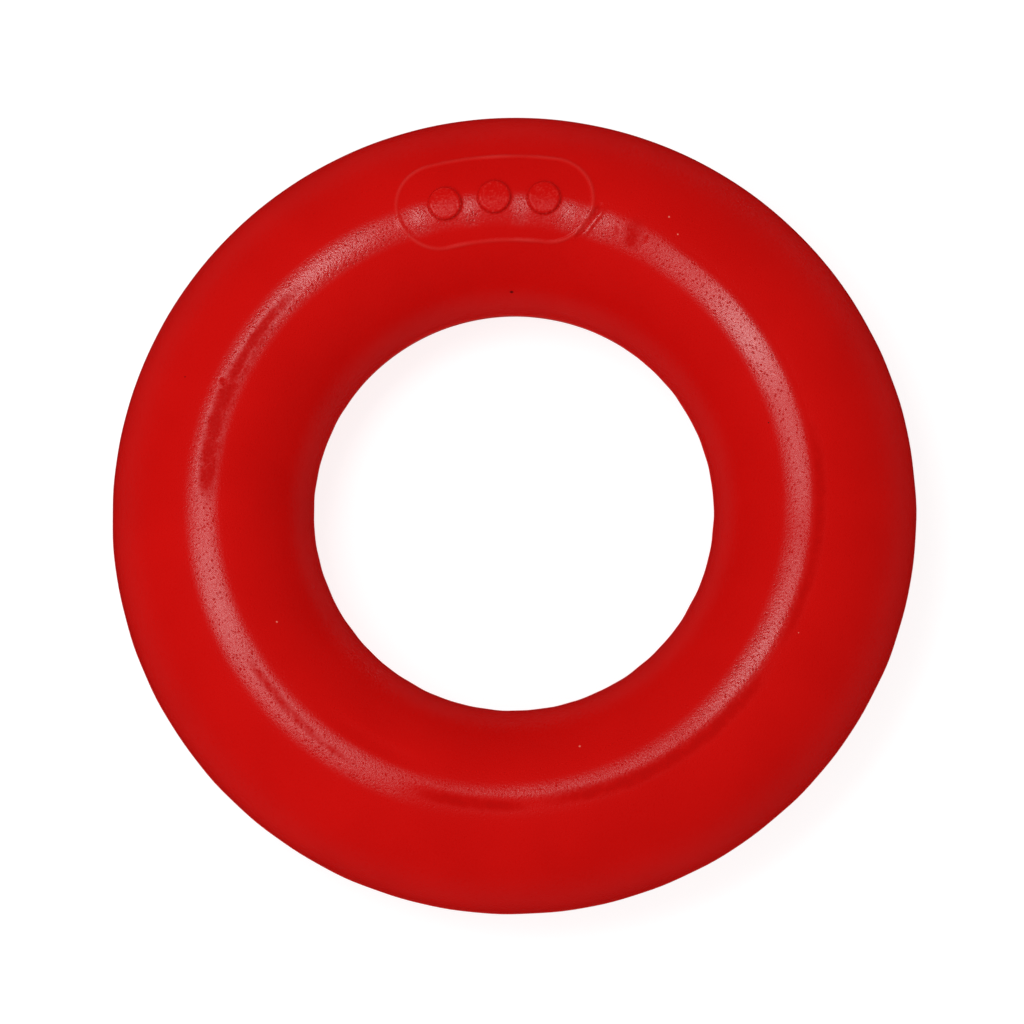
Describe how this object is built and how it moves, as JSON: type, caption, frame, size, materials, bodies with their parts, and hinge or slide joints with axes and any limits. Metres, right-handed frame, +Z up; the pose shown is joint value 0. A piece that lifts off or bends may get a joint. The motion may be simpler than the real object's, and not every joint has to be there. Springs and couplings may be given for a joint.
{
  "type": "finger exerciser ring",
  "caption": "Solid rubber ring of round section, squeezed in the palm or stretched open from inside by the fingers to train grip.",
  "frame": {"origin": "on the surface that the ring lies on, under the centre of its hole", "axes": "+Z up along the ring's axis, through the hole; +Y from the axis towards the raised mark on the crest"},
  "size_m": [0.0702, 0.0702, 0.0178],
  "materials": {
    "red_rubber": "satin"
  },
  "bodies": {
    "root": {"grip_ring": "red_rubber"}
  },
  "joints": []
}
